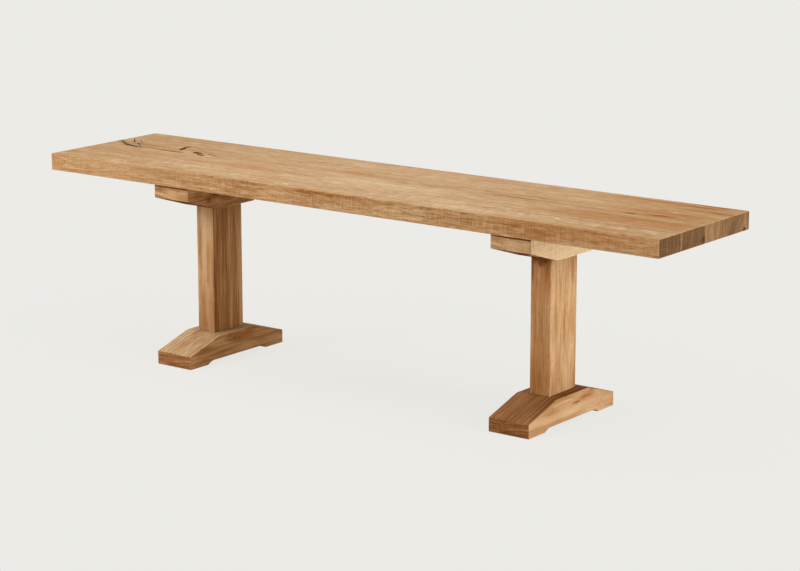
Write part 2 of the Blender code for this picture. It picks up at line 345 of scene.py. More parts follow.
def trunk_measure(tree, place, wander):
    """Millimetres along the trunk, outwards from its pith and around it, with the bends that a trunk has."""
    bend_length, bend_width, arc_radius = 900.0, 130.0, 300.0
    sockets = {"Vector": place, "Scale": (1 / bend_length, 1 / bend_width, 1 / bend_width)}
    stretched = node(tree, "ShaderNodeMapping", sockets)
    noise = node(tree, "ShaderNodeTexNoise", {"Vector": stretched.outputs[0], "Scale": 1.0, "Detail": 2.0})
    bent = moved_by(tree, place, noise.outputs["Color"], (0.0, wander, wander))
    split = node(tree, "ShaderNodeSeparateXYZ", {"Vector": bent})
    across = node(tree, "ShaderNodeVectorMath", {0: bent, 1: (0.0, 1.0, 1.0)}, operation="MULTIPLY")
    radius = node(tree, "ShaderNodeVectorMath", {0: across.outputs[0]}, operation="LENGTH").outputs["Value"]
    angle = node(tree, "ShaderNodeMath", {0: split.outputs["Z"], 1: split.outputs["Y"]}, operation="ARCTAN2")
    around = times(tree, angle.outputs[0], arc_radius)
    sheet = node(tree, "ShaderNodeCombineXYZ", {"X": split.outputs["X"], "Y": radius, "Z": around})
    return sheet.outputs[0], radius


def spring_wood(tree, radius, ring):
    """1 where a ring's porous spring wood lies, for rings of uneven width."""
    good_years_scale, good_years_reach, spring_share = 0.23, 2.5, 0.45
    years = times(tree, radius, 1 / ring)
    sockets = {"W": years, "Scale": good_years_scale, "Detail": 1.0}
    uneven = node(tree, "ShaderNodeTexNoise", sockets, noise_dimensions="1D").outputs["Fac"]
    year = weighed(tree, years, [(uneven, good_years_reach)])
    season = node(tree, "ShaderNodeMath", {0: year}, operation="FRACT").outputs[0]
    return between(tree, season, spring_share, 0.0)


# %% [markdown]
# ## From log to finish
#
# One function makes the oak of a piece. The tone of each point is a sum: the piece's own tone, broad and
# narrow streaks, clouds, fibres, rings, ray flecks, saw marks, and then what is special to that piece, such
# as a mark, or light and shade painted on the faces that turn towards a lamp or away from it. The sum picks
# a colour from the tones above, and tints, pores, knots and stains go over it. Pores are really 0.3 mm wide.
# They are drawn at 1.6 mm, because finer ones would not show at this distance, and saw marks at 3 mm instead
# of 2 mm for the same reason.

# %% Sizes and levels of the oak's patterns
# Sizes are in millimetres along the trunk, outwards from the pith and around it. Only those of the saw
# marks run straight across the trunk. In the rows with four values, the noise's detail follows the size,
# and then the two levels between which the pattern comes in.
BROAD_STRIPES = (900, 30, 42)
CLOUDS = (95, 30, 30)
END_BANDS = (600, 6.5, 90)
END_RAYS = (600, 45)
SAW_KERFS = (3.0, 30.0, 30.0)
RAY_FLECKS = ((10, 34, 3.0), 1.0, 0.56, 0.70)
RAY_FIGURE = ((22, 13, 9), 2.0, 0.50, 0.64)
SAWN_PATCHES = ((120, 40, 40), 1.0, 0.26, 0.50)
PORES = ((17, 1.6, 1.6), 1.0, 0.58, 0.68)
FIBRE_LEVELS = (0.36, 0.64)
FACE_TURN = (0.60, 0.95)
END_TURN = (0.80, 0.97)
print("pores:", PORES[0][1], "mm, saw marks:", SAW_KERFS[0], "mm")


# %% Marks and saw lines
def torn_along_grain(tree, place, sheet):
    """The place moved by a few random millimetres, which tears the outline of a mark."""
    tear_scale, tear_reach = 0.06, (10.0, 10.0, 10.0)
    noise = node(tree, "ShaderNodeTexNoise", {"Vector": sheet, "Scale": tear_scale, "Detail": 3.0})
    return moved_by(tree, place, noise.outputs["Color"], tear_reach)


def placed(tree, place, torn, marks):
    """A soft spot and a shift in tone for each mark. Small marks keep a straight outline."""
    straight_below = 5.0
    parts = []
    for centre, reach, shift in marks:
        outline = place if min(reach) < straight_below else torn
        parts.append((spot(tree, outline, centre, reach), shift))
    return parts


def saw_lines(tree, log):
    """Lines across the grain, from -0.5 to 0.5, that fade in and out as the blade bit."""
    kerfs = patches(tree, log, SAW_KERFS, 1.0)
    return times(tree, weighed(tree, -0.5, [(kerfs, 1.0)]), crisp_patches(tree, log, *SAWN_PATCHES))


# %% One function for sawn and oiled oak
def sawn_oak(
    name, grain, pith, tone, pith_turn=0.0, end_tone=0.4, end_tones=OAK_END, end_rings=0.60,
    end_rays=0.25, ray_width=1.4, ring=3.2, rings=0.08, wander=14.0, saw=0.0, rays=0.04, broads=0.45,
    streaks=0.48, streak_size=(280, 11, 12), clouds=0.25, fibres=0.22, fibre_size=(42, 2.6, 3.0),
    pore_share=0.40, flecks=(), faces=(), marks=(), tints=(), stains=(), knots=(), end_marks=(),
):
    """Oiled oak cut from a trunk whose pith runs through a given point, in millimetres, along the grain."""
    material, tree = new_material(name)
    place, normal = place_and_normal(tree)
    turn = Vector(GRAIN_TURN[grain])
    turn.x = math.radians(pith_turn)
    knot_places = [(centre, size) for centre, size, _ in knots]
    sockets = {"Vector": drawn_to_knots(tree, place, knot_places), "Location": pith, "Rotation": turn}
    log = node(tree, "ShaderNodeMapping", sockets, vector_type="TEXTURE").outputs[0]
    sheet, radius = trunk_measure(tree, log, wander)
    torn = torn_along_grain(tree, place, sheet)

    broad = patches(tree, sheet, BROAD_STRIPES)
    streak = patches(tree, sheet, streak_size, detail=5.0, crispness=0.62)
    cloud = patches(tree, sheet, CLOUDS)
    fibre = crisp_patches(tree, sheet, fibre_size, 1.0, *FIBRE_LEVELS)
    spring = spring_wood(tree, radius, ring)
    lines = saw_lines(tree, log)
    parts = [(broad, broads), (streak, streaks), (cloud, clouds), (fibre, fibres)]
    start = tone - sum(weight for _, weight in parts) / 2 + rings / 4
    parts += [(spring, -rings), (lines, saw), (crisp_patches(tree, sheet, *RAY_FLECKS), rays)]
    parts += placed(tree, place, torn, marks)
    # Painted light and shade: each listed face direction is made paler or darker by its shift.
    for axis, shift in faces:
        parts.append((between(tree, faces_along(tree, normal, axis), *FACE_TURN), shift))
    if flecks:
        figure = crisp_patches(tree, sheet, *RAY_FIGURE)
        parts += [(times(tree, figure, near), shift) for near, shift in placed(tree, place, torn, flecks)]
    colour = stained(tree, weighed(tree, start, parts), OAK_FACE)
    for centre, reach, share, hue in tints:
        patch = times(tree, spot(tree, torn, centre, reach), share)
        colour = tinted(tree, colour, linear(hue), patch)
    pores = crisp_patches(tree, sheet, *PORES)
    colour = tinted(tree, colour, linear(OAK_PORE), times(tree, pores, pore_share))

    end_clouds, end_pores, end_spring = 0.30, -0.30, -0.06 * end_rings
    bands = patches(tree, sheet, END_BANDS, detail=3.0)
    medullary = patches(tree, sheet, (*END_RAYS, ray_width))
    end_parts = [(bands, end_rings), (medullary, end_rays), (cloud, end_clouds)]
    end_start = end_tone - sum(weight for _, weight in end_parts) / 2
    end_parts += [(spring, end_spring), (pores, end_pores), *placed(tree, place, torn, end_marks)]
    end_colour = stained(tree, weighed(tree, end_start, end_parts), end_tones)
    sockets = {0: faces_along(tree, normal, GRAIN_AXIS[grain])}
    squarely = node(tree, "ShaderNodeMath", sockets, operation="ABSOLUTE").outputs[0]
    colour = tinted(tree, colour, end_colour, between(tree, squarely, *END_TURN))
    knot_core = 0.35
    for centre, size, darkness in (*knots, *stains):
        core = times(tree, spot(tree, torn, centre, size, knot_core), darkness)
        colour = tinted(tree, colour, linear(OAK_KNOT), core)

    fibre_height, pore_depth, kerf_height = 0.30, -0.40, 4 * saw
    height = weighed(tree, 0.0, [(fibre, fibre_height), (pores, pore_depth), (lines, kerf_height)])
    bump = node(tree, "ShaderNodeBump", {"Height": height, "Strength": 0.6, "Distance": 0.15 * MM})
    underneath = faces_along(tree, normal, DOWN)
    shader = node(tree, "ShaderNodeBsdfPrincipled", {
        "Base Color": colour, "Roughness": between(tree, underneath, *FACE_TURN, OAK_ROUGHNESS, 1.0),
        "IOR": OIL_INDEX, "Specular IOR Level": OPEN_GRAIN_GLOSS, "Normal": bump.outputs[0],
    })
    return finished(material, shader.outputs[0])


# %% [markdown]
# ## Modelling helpers
#
# Each new piece starts from a primitive at its real size and place. Edges are picked by where they lie, the
# way a maker's eye finds them, and modifiers are applied, so that the finished mesh holds the shape.

# %% Helpers for blocks, edges and cuts
def corners(name):
    """The lowest and the highest corner of one of the frame's pieces."""
    low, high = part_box(name)
    return Vector(low), Vector(high)


def alone(piece):
    """Leaves one piece selected and active, so that an operator acts on nothing else."""
    bpy.ops.object.select_all(action="DESELECT")
    piece.select_set(True)
    bpy.context.view_layer.objects.active = piece


def block(name, low, high):
    """A box between two corners, with its place in its mesh."""
    bpy.ops.object.select_all(action="DESELECT")
    bpy.ops.mesh.primitive_cube_add(size=1.0, location=(low + high) / 2, scale=high - low)
    bpy.ops.object.transform_apply(location=True, rotation=True, scale=True)
    piece = bpy.context.object
    piece.name = name
    return piece


def upright(name, axis, bottom, top, radius, sides):
    """An upright cylinder, or a prism where it has few sides."""
    place = (axis.x, axis.y, (bottom + top) / 2)
    bpy.ops.object.select_all(action="DESELECT")
    bpy.ops.mesh.primitive_cylinder_add(vertices=sides, radius=radius, depth=top - bottom, location=place)
    piece = bpy.context.object
    piece.name = name
    bpy.ops.object.transform_apply(location=True, rotation=True, scale=True)
    return piece


def pick_edges(piece, wanted):
    """Goes into edit mode with those edges selected whose middle passes a test."""
    alone(piece)
    bpy.ops.object.mode_set(mode="EDIT")
    bpy.ops.mesh.select_mode(type="EDGE")
    bpy.ops.mesh.select_all(action="DESELECT")
    grid = bmesh.from_edit_mesh(piece.data)
    for edge in grid.edges:
        start, stop = (corner.co for corner in edge.verts)
        edge.select = wanted((start + stop) / 2)
    bmesh.update_edit_mesh(piece.data)


def ease_edges(piece, width, steps, wanted):
    """Rounds the edges whose middle passes a test."""
    pick_edges(piece, wanted)
    bpy.ops.mesh.bevel(offset=width, segments=steps, affect="EDGES")
    bpy.ops.object.mode_set(mode="OBJECT")


def apply_modifier(piece, kind, **settings):
    """Adds a modifier and applies it at once."""
    alone(piece)
    modifier = piece.modifiers.new(kind.lower(), kind)
    for setting, value in settings.items():
        setattr(modifier, setting, value)
    bpy.ops.object.modifier_apply(modifier=modifier.name)


def cut(piece, cutter):
    """Cuts one piece with another, which leaves its own finish in the hollow and then goes."""
    apply_modifier(
        piece, "BOOLEAN", object=cutter, operation="DIFFERENCE", solver="EXACT", material_mode="TRANSFER",
    )
    bpy.data.objects.remove(cutter)


def smooth(piece):
    """Rounds the shading of eased edges and leaves the faces flat."""
    sharp_from = math.radians(40)
    alone(piece)
    bpy.ops.object.shade_smooth_by_angle(angle=sharp_from)
    apply_modifier(piece, "WEIGHTED_NORMAL", keep_sharp=True)


# %% [markdown]
# ## The seat boards
#
# The seat is four boards, glued edge to edge and then eased along its outline with sandpaper. So only the
# outline's edges are rounded, by 1.5 mm, and the glued ones stay square. In the frame the boards stand 0.3
# mm apart. A real glue line is a hair, so each board grows to leave 0.05 mm. The first material slot holds
# a stand-in until the oak is ready, so that what is cut later can bring a second finish.

# %% Four glued boards
arris = 1.5 * MM
arris_steps = 4
glue_line = 0.05 * MM
board_count = 4
board_names = [f"seat_board_{number + 1}" for number in range(board_count)]
board_boxes = [corners(name) for name in board_names]
frame_gap = board_boxes[1][0].y - board_boxes[0][1].y
growth = (frame_gap - glue_line) / 2
seat_low, seat_high = board_boxes[0][0], board_boxes[-1][1]
unfinished = bpy.data.materials.new("unfinished_oak")

boards = []
for board_name, (low, high) in zip(board_names, board_boxes):
    if low.y > seat_low.y:
        low.y -= growth
    if high.y < seat_high.y:
        high.y += growth
    board = block("solid_" + board_name, low, high)
    board.data.materials.append(unfinished)
    glued = [side for side in (low.y, high.y) if seat_low.y < side < seat_high.y]
    ease_edges(board, arris, arris_steps, lambda middle: all(abs(middle.y - side) > arris for side in glued))
    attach(board, "root")
    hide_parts(board_name)
    boards.append(board)
    print(board.name, [round(size * 1000, 2) for size in high - low], "mm")

# %% [markdown]
# ## Holes for the threaded inserts
#
# Four bolts for each leg reach up into the outer boards. Each hole is drilled from below, a little deeper
# than the bolt's tip, and a little wider than the insert.

# %% Drill the outer boards
bolts_per_leg = 4
bolt_places = [(side, number + 1) for side in ("left", "right") for number in range(bolts_per_leg)]
drill_room = 0.3 * MM
depth_room = 2.0 * MM
round_steps = 48

for side, number in bolt_places:
    insert_low, insert_high = corners(f"{side}_insert_{number}")
    bolt_tip = corners(f"{side}_bolt_{number}")[1].z
    middle = (insert_low + insert_high) / 2
    radius = (insert_high.x - insert_low.x) / 2 + drill_room
    drill = upright("drill", middle, seat_low.z - depth_room, bolt_tip + depth_room, radius, round_steps)
    cut(boards[0] if middle.y < 0 else boards[-1], drill)
print("insert holes:", round(2 * radius * 1000, 1), "mm wide")

# %% [markdown]
# ## Shakes and knots
#
# A shake is a split that opened as the tree grew or dried. The big one enters the third board at the seat's
# left-hand end, and fine splits fan out beside it. Two knots follow. They are cut as real hollows, because
# a painted split looks flat from the side. Each cutter is a curve whose radius swells and fades along its
# length, stretched downwards into a blade. It carries a dark, dusty finish, which stays in the hollow. Its
# darkness is partly dust and partly painted shade.

# %% The finish inside a split
def dusty_split_with_painted_shade():
    """Inside a split: dusty, rough and without shine, and dark, partly as painted shade of the deep hollow.
    """
    material, tree = new_material("dusty_split_oak_with_painted_shade")
    dust_size = (9, 2, 2)
    dust = patches(tree, place_and_normal(tree)[0], dust_size, detail=3.0)
    colour = stained(tree, dust, ("2E1A0E", "52341F", "7A5434"))
    bump = node(tree, "ShaderNodeBump", {"Height": dust, "Strength": 0.7, "Distance": 0.3 * MM})
    shader = node(tree, "ShaderNodeBsdfPrincipled", {
        "Base Color": colour, "Roughness": 1.0, "IOR": OIL_INDEX, "Specular IOR Level": 0.0,
        "Normal": bump.outputs[0],
    })
    return finished(material, shader.outputs[0])


# Dust and painted shade for the insides of the splits and the knots' hollows.
split_dust_and_shade = dusty_split_with_painted_shade()

# %% Cut the shake, its fine splits and the knots' hollows
blade_depth_share = 2.2
weld = 0.01 * MM
SPLITS = {
    "shake": (
        (-798, 55, 1.6), (-775, 37, 2.6), (-753, 22, 4.2), (-733, 14, 4.8), (-714, 9, 4.0), (-698, 5, 2.6),
        (-682, 4, 0.8),
    ),
    "shake_tail": (
        (-674, 9, 0.8), (-655, 11, 1.5), (-638, 12, 1.8), (-620, 10, 1.8), (-603, 8, 2.2), (-588, 8, 2.0),
        (-574, 8, 1.3), (-560, 9, 0.7),
    ),
    "feather": ((-785, 85, 1.2), (-774, 74, 2.8), (-761, 60, 3.0), (-748, 45, 0.8)),
    "fan_back": ((-764, 82, 0.6), (-752, 72, 1.5), (-739, 60, 1.5), (-726, 50, 0.5)),
    "fan_middle": ((-752, 60, 0.6), (-740, 50, 1.8), (-726, 39, 1.8), (-712, 28, 0.5)),
    "fan_front": ((-732, 39, 0.6), (-720, 30, 1.8), (-705, 20, 1.8), (-691, 12, 0.5)),
    "knot_spike": (
        (-592, 26, 1.5), (-594, 35, 4.5), (-597, 44, 11.0), (-601, 54, 7.0), (-604, 65, 3.8),
        (-603, 75, 3.0), (-598, 82, 2.2), (-590, 86, 1.0),
    ),
    "knot_eye": ((-551, 30, 2.0), (-541, 28, 11.0), (-530, 25, 12.0), (-522, 22, 5.0), (-516, 20, 1.5)),
    "knot_pupil": ((-524, 12, 1.5), (-516, 9, 8.0), (-507, 7, 7.0), (-499, 4, 1.5)),
    "knot_tail": ((-506, 28, 0.7), (-485, 20, 1.5), (-460, 11, 1.3), (-440, 8, 0.6)),
}


def blade(name, route):
    """A tapering cutter along a route of places and widths in millimetres, sunk into the seat's top."""
    path = bpy.data.curves.new(name, "CURVE")
    path.dimensions = "3D"
    path.bevel_depth = 1.0
    path.bevel_resolution = 1
    path.resolution_u = 5
    path.use_fill_caps = True
    spline = path.splines.new("BEZIER")
    spline.bezier_points.add(len(route) - 1)
    for point, (x, y, width) in zip(spline.bezier_points, route, strict=True):
        point.co = (x * MM, y * MM, seat_high.z)
        point.radius = width / 2 * MM
        point.handle_left_type = point.handle_right_type = "AUTO"
    cutter = bpy.data.objects.new(name, path)
    bpy.context.scene.collection.objects.link(cutter)
    alone(cutter)
    bpy.ops.object.convert(target="MESH")
    bpy.ops.object.mode_set(mode="EDIT")
    bpy.ops.mesh.select_all(action="SELECT")
    bpy.ops.mesh.remove_doubles(threshold=weld)
    bpy.ops.transform.resize(value=(1.0, 1.0, blade_depth_share), center_override=(0.0, 0.0, seat_high.z))
    bpy.ops.object.mode_set(mode="OBJECT")
    cutter.data.materials.append(split_dust_and_shade)
    return cutter


boards[2].data.materials.append(split_dust_and_shade)
for split_name, route in SPLITS.items():
    cut(boards[2], blade(split_name, route))
print("board 3 after its splits:", len(boards[2].data.polygons), "faces")

# %% Round the shading of the boards
for board in boards:
    smooth(board)
print("boards:", [len(board.data.polygons) for board in boards], "faces")

# %% [markdown]
# ## Finishing the seat
#
# The boards come from different logs. The first is cut along the rays, so pale flecks lie near its front
# edge, and its narrow front face shows faint arches and is painted a little darker, as shade. The second is
# warmer at both ends, the third holds the shake and the knots, and the last is cut at a slant, which the
# slanting streaks on its end show.

# %% Board finishes
TOP = 450
WARM_OAK = "BC7B3B"
PINK_OAK = "CC9263"
PALE_OAK = "B4926A"
ROSY_OAK = "D3A584"


def dress(piece, material):
    """Gives a piece its finish in the first slot."""
    piece.data.materials[0] = material


def on_top(depth, *rows):
    """Marks on the seat's top: x, y, reach along, reach across and the rest, all reaching as deep."""
    return tuple(((x, y, TOP), (along, across, depth), *rest) for x, y, along, across, *rest in rows)


fleck_places = (
    (-609, -156), (-589, -119), (-524, -115), (-454, -151), (-436, -114), (-348, -137), (-278, -134),
    (-118, -152), (240, -141), (452, -125), (536, -118), (584, -127), (631, -136), (673, -126), (769, -139),
)
board_oak = [
    dict(
        pith=(0, -470, 445), tone=0.66, end_tone=0.19, saw=0.40, rays=0.08, streaks=0.38,
        # The front face's shift is painted shade, a little darker than the top.
        streak_size=(180, 11, 7), fibres=0.18, pore_share=0.50, faces=((FRONT, -0.15),),
        tints=(
            ((650, -175, 440), (420, 60, 50), 0.30, WARM_OAK),
            ((-60, -175, 446), (150, 8, 9), 0.35, WARM_OAK),
            ((-580, -175, 431), (330, 12, 60), 0.45, PALE_OAK),
        ),
        flecks=[((x, y, TOP), (40, 18, 14), 0.34) for x, y in fleck_places],
        marks=(
            *on_top(10, (290, -145, 48, 20, 0.16)),
            *on_top(
                20, (240, -130, 340, 70, 0.10), (-420, -130, 170, 40, 0.06), (680, -110, 200, 40, -0.07),
                (-740, -150, 90, 40, -0.05), (480, -145, 280, 50, 0.09),
            ),
            ((-380, -175, 420), (55, 14, 14), -0.16), ((-40, -175, 445), (130, 8, 6), -0.22),
            ((-110, -175, 440), (90, 8, 5), -0.12), ((455, -175, 436), (75, 8, 5), -0.24),
            ((668, -175, 443), (65, 8, 5), -0.20), ((530, -175, 430), (130, 10, 30), -0.10),
            ((-730, -175, 418), (90, 8, 3), -0.26), ((-715, -175, 423), (90, 8, 3), 0.18),
            ((-10, -175, 420), (60, 8, 8), 0.12), ((80, -175, 447), (260, 12, 12), -0.08),
            ((-237, -175, 431), (100, 12, 40), -0.10), ((480, -175, 431), (220, 12, 40), -0.05),
            ((0, -175, 446), (1100, 10, 13), -0.05), ((100, -175, 420), (260, 10, 12), 0.06),
            ((735, -175, 420), (110, 10, 12), 0.07), ((-600, -175, 432), (150, 10, 40), 0.05),
        ),
        end_marks=(((800, -90, 431), (10, 7, 60), 0.20), ((800, -168, 431), (10, 14, 40), 0.05)),
    ),
    dict(
        pith=(0, -380, 425), tone=0.645, end_tone=0.22, saw=0.12, streaks=0.36, clouds=0.20,
        tints=on_top(
            20, (-330, -50, 150, 50, 0.35, PINK_OAK), (-660, -70, 200, 30, 0.30, PINK_OAK),
            (680, -55, 330, 70, 0.40, WARM_OAK),
        ),
        marks=on_top(
            20, (60, -44, 260, 70, 0.12), (-300, -44, 300, 60, -0.06), (-330, -40, 110, 34, -0.10),
            (-620, -78, 240, 22, -0.12), (-600, -40, 260, 50, -0.05), (600, -50, 220, 60, -0.15),
            (760, -60, 90, 60, -0.12), (-740, -64, 130, 40, -0.11), (740, -20, 120, 36, -0.11),
            (340, -64, 110, 36, 0.07),
        ),
        knots=(((800, -7, 423), (10, 7, 10), 0.85),),
    ),
    dict(
        pith=(0, 380, 440), pith_turn=180, tone=0.68, end_tone=0.43, saw=0.12,
        tints=(
            *on_top(20, (-90, 35, 110, 40, 0.30, WARM_OAK), (640, 40, 340, 80, 0.35, WARM_OAK)),
            *on_top(
                10, (-640, 12, 80, 12, 0.15, WARM_OAK), (-700, 50, 70, 30, 0.12, WARM_OAK),
                (-540, 40, 110, 30, 0.12, WARM_OAK), (350, 14, 130, 12, 0.50, WARM_OAK),
            ),
        ),
        marks=(
            *on_top(
                10, (-735, 60, 30, 10, -0.20), (-728, 40, 26, 9, -0.20), (-760, 90, 30, 9, -0.16),
                (-690, 43, 45, 10, -0.22), (-690, 20, 50, 8, -0.26), (-640, 12, 60, 8, -0.42),
                (-590, 8, 50, 8, -0.46), (-668, -2, 60, 12, 0.14), (-622, 59, 16, 14, 0.26),
                (-576, 29, 24, 10, 0.26), (-500, 24, 50, 9, -0.22), (-485, 4, 22, 10, 0.24),
                (-100, 45, 60, 40, -0.04), (340, 15, 110, 10, -0.38), (60, 8, 80, 9, -0.16),
                (75, 20, 26, 11, 0.22), (683, 23, 60, 9, -0.42), (691, 70, 20, 10, 0.22),
                (500, 10, 260, 12, -0.10), (0, 86, 820, 8, 0.06),
            ),
            *on_top(20, (710, 40, 190, 80, -0.21), (-400, 60, 160, 50, 0.07)),
        ),
        stains=on_top(
            10, (-787, 46, 16, 11, 0.45), (-764, 29, 20, 11, 0.50), (-744, 18, 20, 12, 0.60),
            (-722, 11, 24, 11, 0.65), (-701, 6, 22, 10, 0.50), (-763, 62, 11, 18, 0.30),
            (-605, 68, 10, 20, 0.60), (-512, 9, 14, 9, 0.70), (621, 13, 20, 9, 0.50),
        ),
        knots=on_top(14, (-599, 46, 9, 12, 1.0), (-535, 25, 19, 13, 0.85)),
        end_marks=(((800, 25, 431), (10, 12, 60), 0.10), ((800, 75, 431), (10, 30, 60), -0.06)),
    ),
    dict(
        pith=(0, 330, 290), pith_turn=135, tone=0.66, end_tone=0.33, end_rings=0.85, saw=0.12,
        tints=(
            *on_top(20, (640, 130, 330, 60, 0.35, WARM_OAK), (60, 150, 320, 50, 0.45, ROSY_OAK)),
            *on_top(10, (550, 152, 130, 12, 0.40, WARM_OAK)),
        ),
        marks=(
            *on_top(
                20, (-200, 130, 240, 60, 0.05), (740, 120, 140, 60, -0.16), (-730, 105, 110, 30, -0.09),
                (-420, 130, 200, 60, 0.06),
            ),
            *on_top(
                10, (560, 155, 180, 8, -0.30), (680, 147, 140, 8, -0.44), (737, 165, 80, 9, -0.40),
                (370, 100, 90, 14, 0.12), (760, 112, 70, 14, -0.14), (40, 100, 30, 12, -0.14),
                (230, 120, 90, 20, 0.07), (-760, 150, 80, 40, 0.06), (60, 168, 340, 14, -0.14),
            ),
        ),
        knots=(((800, 157, 415), (12, 8, 8), 0.9),),
        end_marks=(((800, 160, 431), (10, 12, 50), 0.14),),
    ),
]
for number, (board, settings) in enumerate(zip(boards, board_oak), start=1):
    dress(board, sawn_oak(f"sawn_oak_board_{number}", "X", **settings))
bpy.data.materials.remove(unfinished)

# %% [markdown]
# ## Finishing the legs
#
# The leg pieces are planed, and only the right cleat keeps clear saw marks. Each is a stick of its own
# tone: the right foot is dark on top, and the right cleat is the palest of all. Light and shade are painted
# on as well: the left leg's inner sides are darker, the outer sides of the right foot and cleat paler, the
# cleats' undersides much darker, and painted shade lies at the tops of the posts' fronts and of the cleats'
# ends, under what sits above them, and over the front of the right foot. The ends keep the warm tones of
# their faces, and there the rays show more than the rings.

# %% Leg finishes
SAND_OAK = "D0AD83"
RUST_OAK = "B4703A"
BRICK_OAK = "A4643A"
